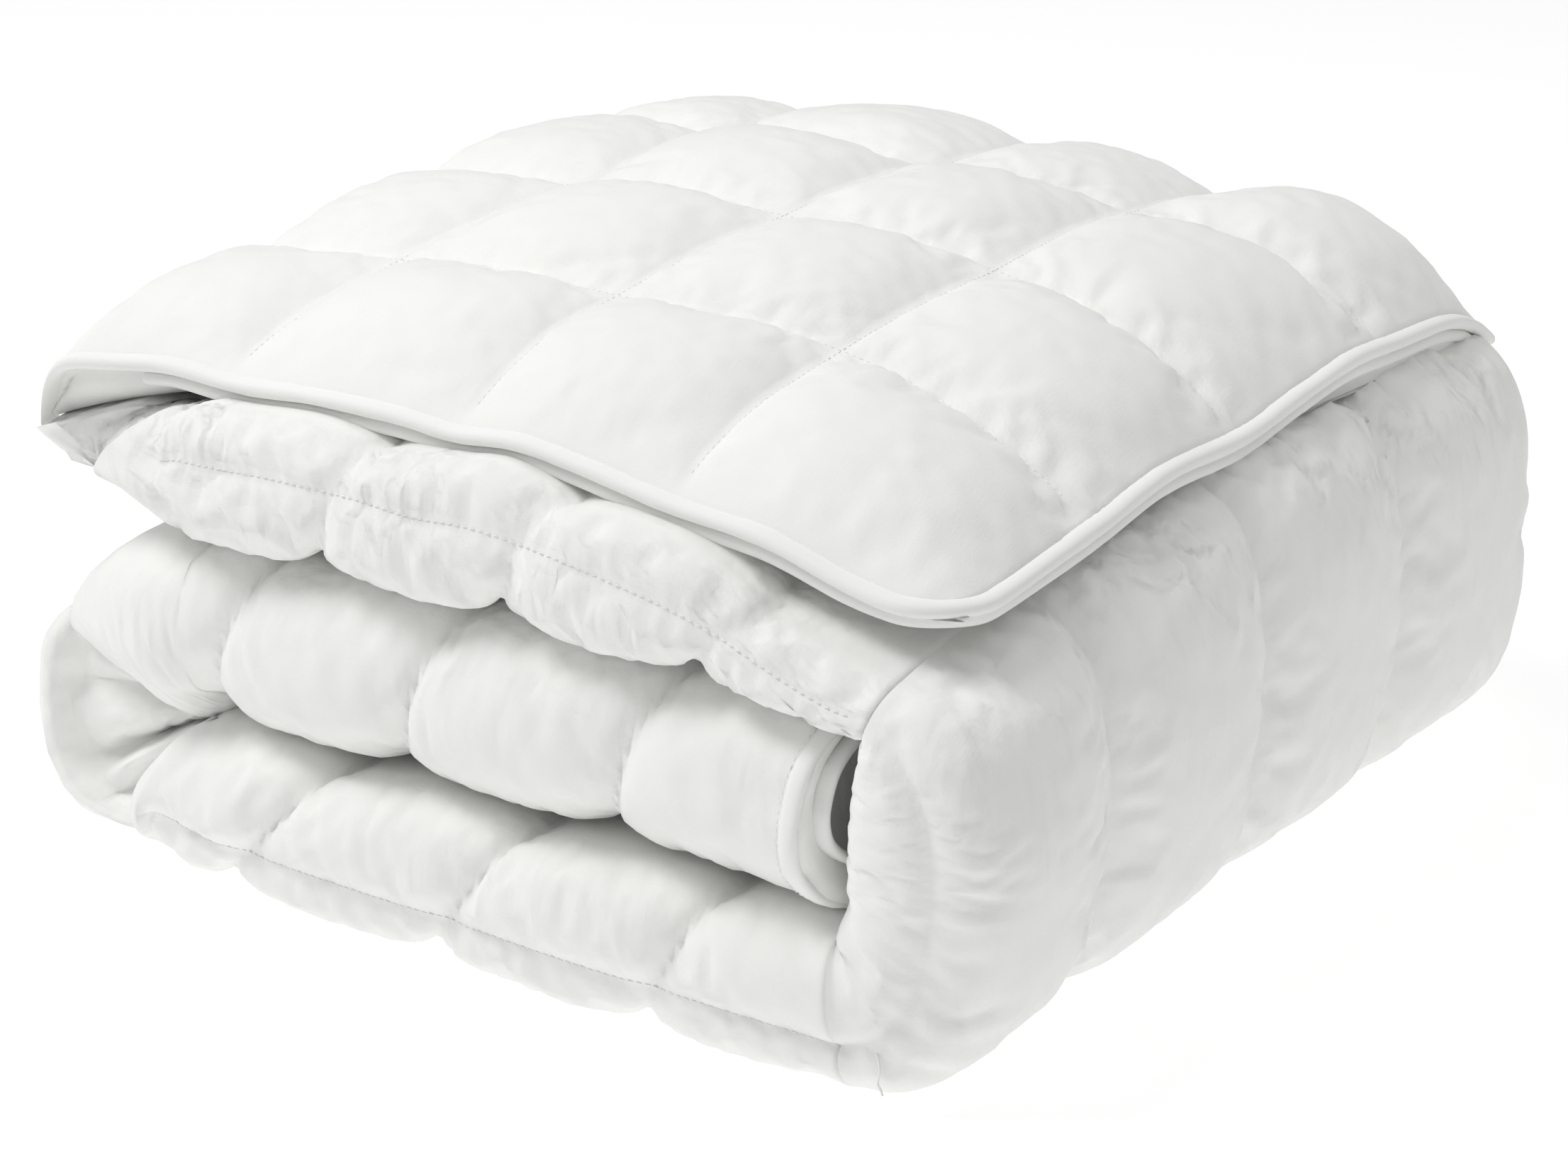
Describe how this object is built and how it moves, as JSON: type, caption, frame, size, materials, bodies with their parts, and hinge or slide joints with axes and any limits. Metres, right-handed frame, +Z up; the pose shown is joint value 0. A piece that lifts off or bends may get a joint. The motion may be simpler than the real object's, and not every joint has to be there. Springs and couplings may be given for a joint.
{
  "type": "folded quilted duvet",
  "caption": "White box-quilted duvet with a bound edge, folded lengthwise and then into a thick layered stack whose halves open at the folds.",
  "frame": {"origin": "middle of the stack's footprint, on the surface it lies on", "axes": "+Z up through the layers, +Y from the front of the stack to its back, +X towards the tall side fold"},
  "size_m": [0.627, 0.6348, 0.3383],
  "materials": {
    "cotton_shell": "matte",
    "fibre_fill": "matte",
    "binding_tape": "matte",
    "quilting_thread": "matte"
  },
  "bodies": {
    "base_half": {"bottom_panel_cover": "cotton_shell", "bottom_panel_fill_1": "fibre_fill", "bottom_panel_fill_2": "fibre_fill", "bottom_panel_fill_3": "fibre_fill", "bottom_panel_fill_4": "fibre_fill", "bottom_panel_front_thread": "quilting_thread", "inner_end_lower_binding": "binding_tape", "inner_end_upper_binding": "binding_tape", "inner_panel_cover": "cotton_shell", "inner_panel_fill_1": "fibre_fill", "inner_panel_fill_2": "fibre_fill", "inner_panel_fill_3": "fibre_fill", "inner_panel_fill_4": "fibre_fill", "lower_fold_cover": "cotton_shell", "lower_fold_fill": "fibre_fill", "side_fold_lower_cover": "cotton_shell", "side_fold_lower_fill": "fibre_fill"},
    "upper_half": {"second_panel_cover": "cotton_shell", "second_panel_fill_1": "fibre_fill", "second_panel_fill_2": "fibre_fill", "second_panel_fill_3": "fibre_fill", "second_panel_fill_4": "fibre_fill", "second_panel_front_thread": "quilting_thread", "side_fold_upper_cover": "cotton_shell", "side_fold_upper_fill": "fibre_fill", "upper_fold_lower_cover": "cotton_shell", "upper_fold_lower_fill": "fibre_fill"},
    "flap": {"flap_back_cover": "cotton_shell", "flap_face_cover": "cotton_shell", "flap_fill_row1_box1": "fibre_fill", "flap_fill_row1_box2": "fibre_fill", "flap_fill_row1_box3": "fibre_fill", "flap_fill_row1_box4": "fibre_fill", "flap_fill_row2_box1": "fibre_fill", "flap_fill_row2_box2": "fibre_fill", "flap_fill_row2_box3": "fibre_fill", "flap_fill_row2_box4": "fibre_fill", "flap_fill_row3_box1": "fibre_fill", "flap_fill_row3_box2": "fibre_fill", "flap_fill_row3_box3": "fibre_fill", "flap_fill_row3_box4": "fibre_fill", "flap_fill_row4_box1": "fibre_fill", "flap_fill_row4_box2": "fibre_fill", "flap_fill_row4_box3": "fibre_fill", "flap_fill_row4_box4": "fibre_fill", "flap_front_binding": "binding_tape", "flap_lower_front_binding": "binding_tape", "flap_lower_ply_back_cover": "cotton_shell", "flap_lower_ply_face_cover": "cotton_shell", "flap_lower_ply_fill": "fibre_fill", "flap_lower_side_binding": "binding_tape", "flap_quilting_thread": "quilting_thread", "flap_side_binding": "binding_tape", "upper_fold_upper_cover": "cotton_shell", "upper_fold_upper_fill": "fibre_fill"}
  },
  "joints": [
    {"name": "half_unfold", "type": "hinge", "parent": "base_half", "child": "upper_half", "pos_m": [0.3145, 0, 0.1425], "axis": [0, 1, 0], "range_deg": [0, 165]},
    {"name": "flap_unfold", "type": "hinge", "parent": "upper_half", "child": "flap", "pos_m": [-0.2895, 0, 0.256], "axis": [0, -1, 0], "range_deg": [0, 180]}
  ]
}
